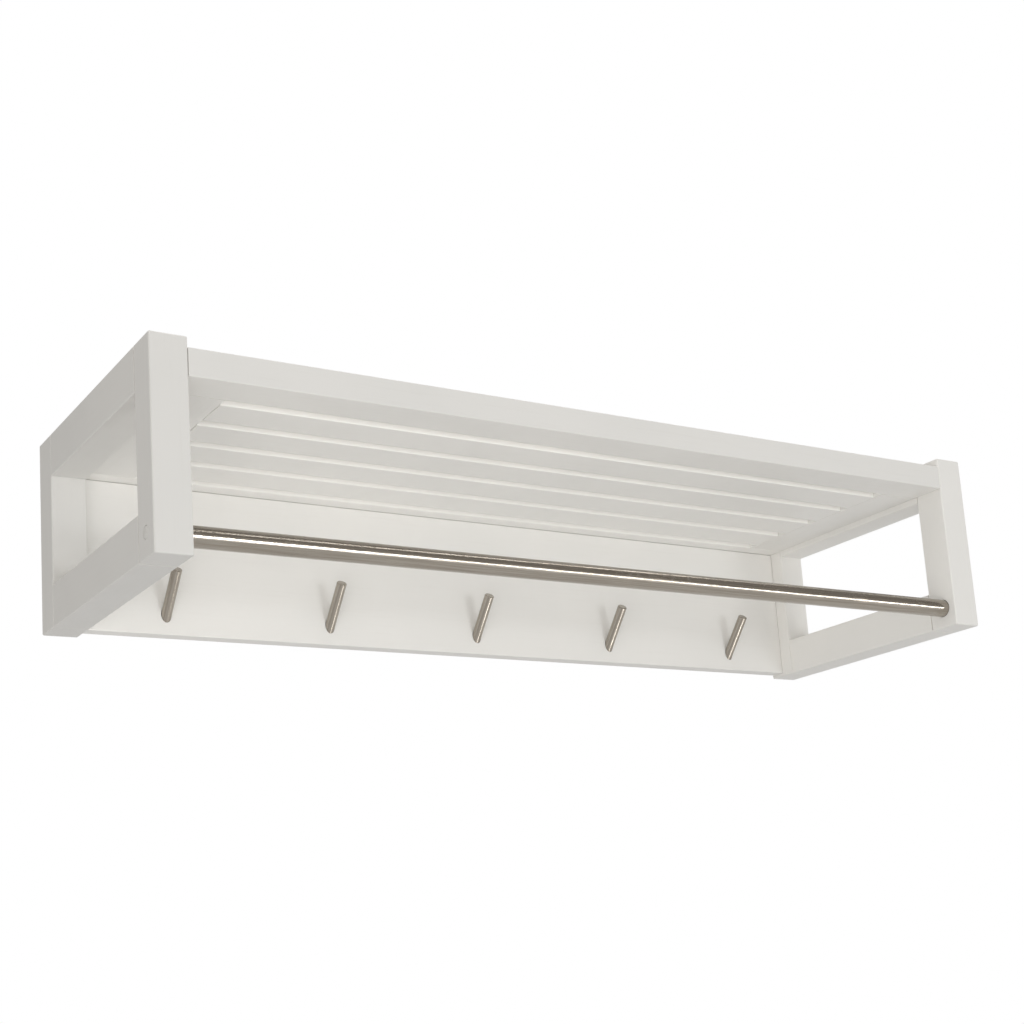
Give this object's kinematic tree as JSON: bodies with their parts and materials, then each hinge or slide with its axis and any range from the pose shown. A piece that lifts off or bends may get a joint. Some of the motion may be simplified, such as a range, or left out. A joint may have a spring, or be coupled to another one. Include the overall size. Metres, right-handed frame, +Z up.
{
  "type": "wall coat rack",
  "caption": "Wall hat and coat rack in white lacquered wood: slatted shelf on two side frames, panel with slanted steel hook pins, and a steel tube rail between the front posts.",
  "frame": {"origin": "on the wall plane, midway between the two keyhole screws that carry the rack, level with their shanks", "axes": "+X to the right seen from the front, +Y into the wall, +Z up"},
  "size_m": [1.0016, 0.32, 0.2],
  "materials": {
    "white_lacquered_wood": "smooth white satin lacquer",
    "brushed_stainless": "brushed",
    "zinc_plated_steel": "zinc plated",
    "brass_sleeve": "plain",
    "beech_dowel": "bare",
    "white_plastic": "moulded"
  },
  "bodies": {
    "root": {"back_panel": "white_lacquered_wood", "hook_1": "brushed_stainless", "hook_1_sleeve": "brass_sleeve", "hook_2": "brushed_stainless", "hook_2_sleeve": "brass_sleeve", "hook_3": "brushed_stainless", "hook_3_sleeve": "brass_sleeve", "hook_4": "brushed_stainless", "hook_4_sleeve": "brass_sleeve", "hook_5": "brushed_stainless", "hook_5_sleeve": "brass_sleeve", "left_bottom_rail": "white_lacquered_wood", "left_bottom_rail_front_dowel": "beech_dowel", "left_bottom_rail_rear_dowel": "beech_dowel", "left_cover_cap": "white_plastic", "left_crosspiece_dowel": "beech_dowel", "left_front_board_dowel": "beech_dowel", "left_front_post": "white_lacquered_wood", "left_hanger_plate": "zinc_plated_steel", "left_lower_hanger_screw": "zinc_plated_steel", "left_lower_panel_dowel": "beech_dowel", "left_rear_board_dowel": "beech_dowel", "left_rear_post": "white_lacquered_wood", "left_top_rail": "white_lacquered_wood", "left_top_rail_front_dowel": "beech_dowel", "left_top_rail_rear_dowel": "beech_dowel", "left_tube_plug": "white_plastic", "left_tube_screw": "zinc_plated_steel", "left_upper_hanger_screw": "zinc_plated_steel", "left_upper_panel_dowel": "beech_dowel", "right_bottom_rail": "white_lacquered_wood", "right_bottom_rail_front_dowel": "beech_dowel", "right_bottom_rail_rear_dowel": "beech_dowel", "right_cover_cap": "white_plastic", "right_crosspiece_dowel": "beech_dowel", "right_front_board_dowel": "beech_dowel", "right_front_post": "white_lacquered_wood", "right_hanger_plate": "zinc_plated_steel", "right_lower_hanger_screw": "zinc_plated_steel", "right_lower_panel_dowel": "beech_dowel", "right_rear_board_dowel": "beech_dowel", "right_rear_post": "white_lacquered_wood", "right_top_rail": "white_lacquered_wood", "right_top_rail_front_dowel": "beech_dowel", "right_top_rail_rear_dowel": "beech_dowel", "right_tube_plug": "white_plastic", "right_tube_screw": "zinc_plated_steel", "right_upper_hanger_screw": "zinc_plated_steel", "right_upper_panel_dowel": "beech_dowel", "shelf_front_board": "white_lacquered_wood", "shelf_left_crosspiece": "white_lacquered_wood", "shelf_rear_board": "white_lacquered_wood", "shelf_right_crosspiece": "white_lacquered_wood", "shelf_slat_1": "white_lacquered_wood", "shelf_slat_2": "white_lacquered_wood", "shelf_slat_3": "white_lacquered_wood", "shelf_slat_4": "white_lacquered_wood", "tube_rail": "brushed_stainless"}
  },
  "joints": []
}
